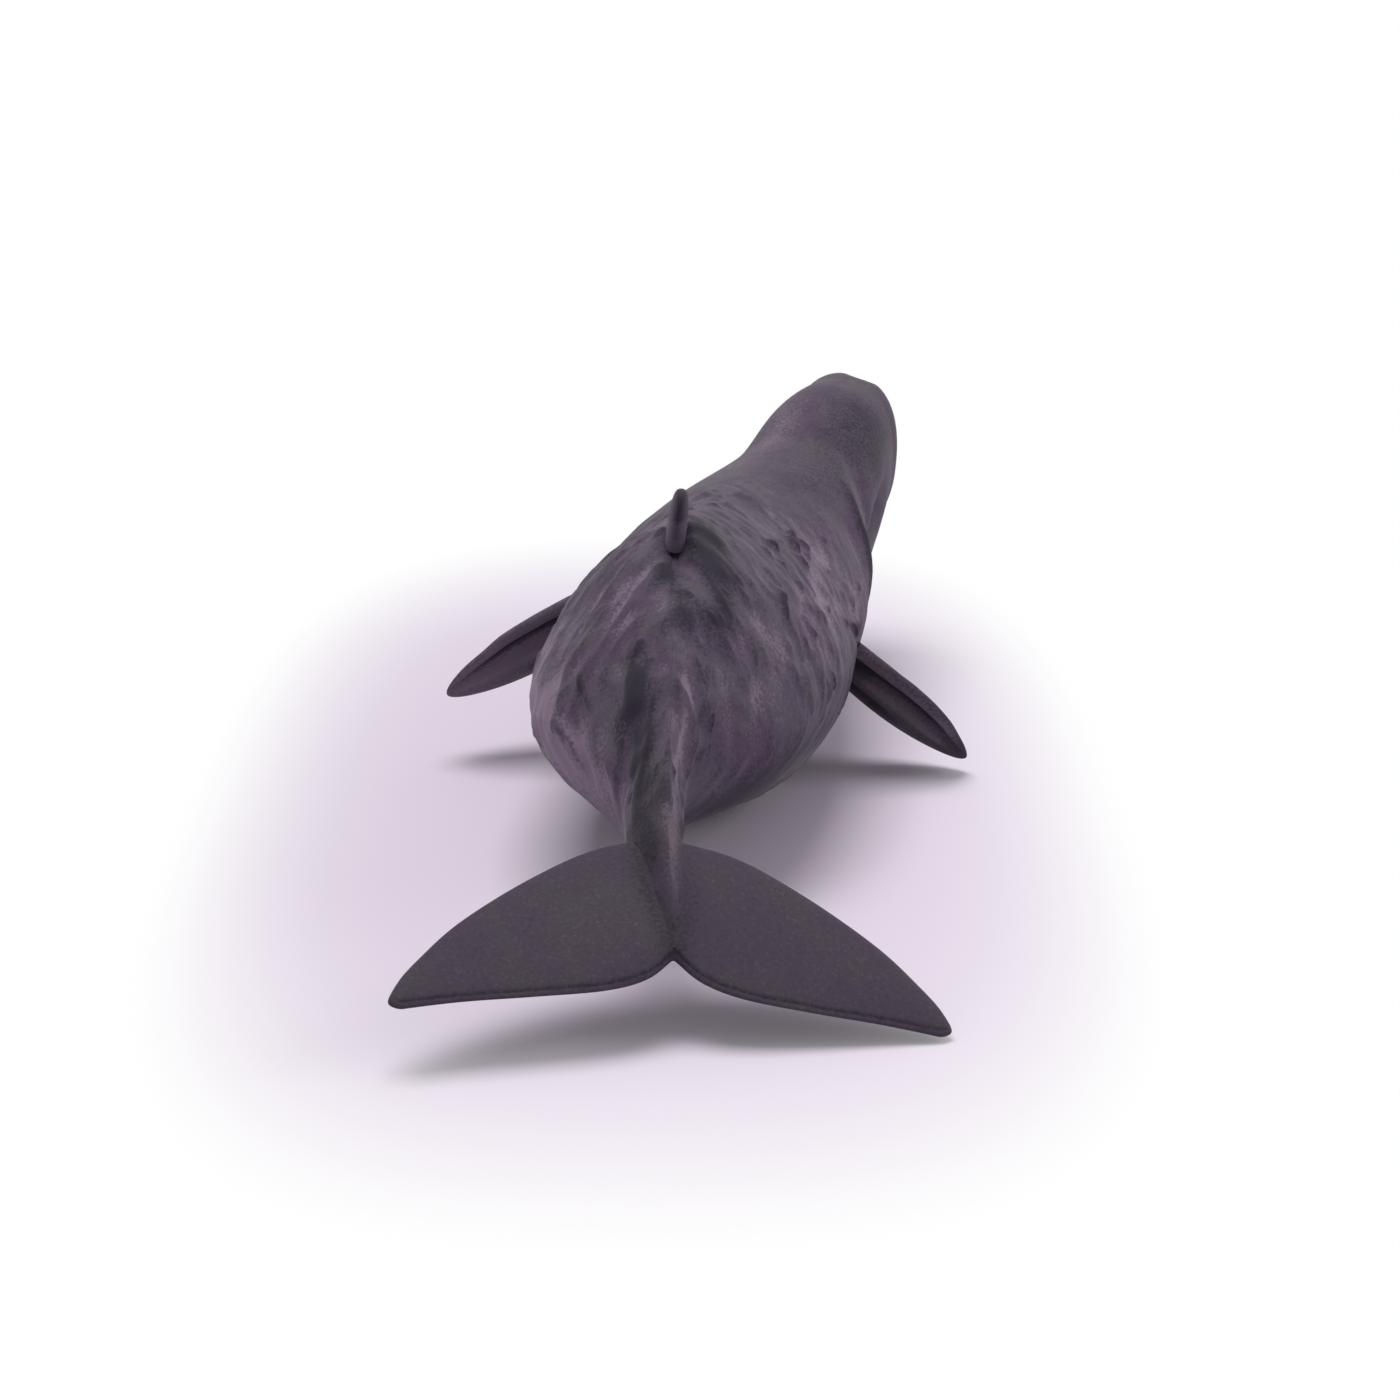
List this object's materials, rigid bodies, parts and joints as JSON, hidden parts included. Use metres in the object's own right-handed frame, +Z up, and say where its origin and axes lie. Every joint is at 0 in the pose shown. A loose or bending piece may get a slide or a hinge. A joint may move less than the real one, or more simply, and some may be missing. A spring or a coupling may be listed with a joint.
{
  "type": "sperm whale figurine",
  "caption": "Hollow vinyl sperm whale figurine lying on its belly, split lengthwise into half shells, with glued-in tail flukes, flippers, back fin and lower jaw.",
  "frame": {"origin": "on the ground, below the middle of the whole figurine's bounding box", "axes": "+Y from the tail towards the head, +X towards the whale's own right, +Z up"},
  "size_m": [0.1256, 0.2898, 0.0859],
  "materials": {
    "wrinkled_skin": "matt grey-violet vinyl with a darker wash in the wrinkles",
    "smooth_skin": "matt dark grey vinyl, smooth",
    "fin_skin": "matt, darker brown-grey vinyl",
    "jaw_skin": "matt pale grey vinyl with off-white teeth"
  },
  "bodies": {
    "root": {"body_left": "wrinkled_skin", "body_right": "wrinkled_skin", "tail_flukes": "smooth_skin", "dorsal_fin": "fin_skin", "flipper_left": "smooth_skin", "flipper_right": "smooth_skin", "lower_jaw": "jaw_skin"}
  },
  "joints": []
}
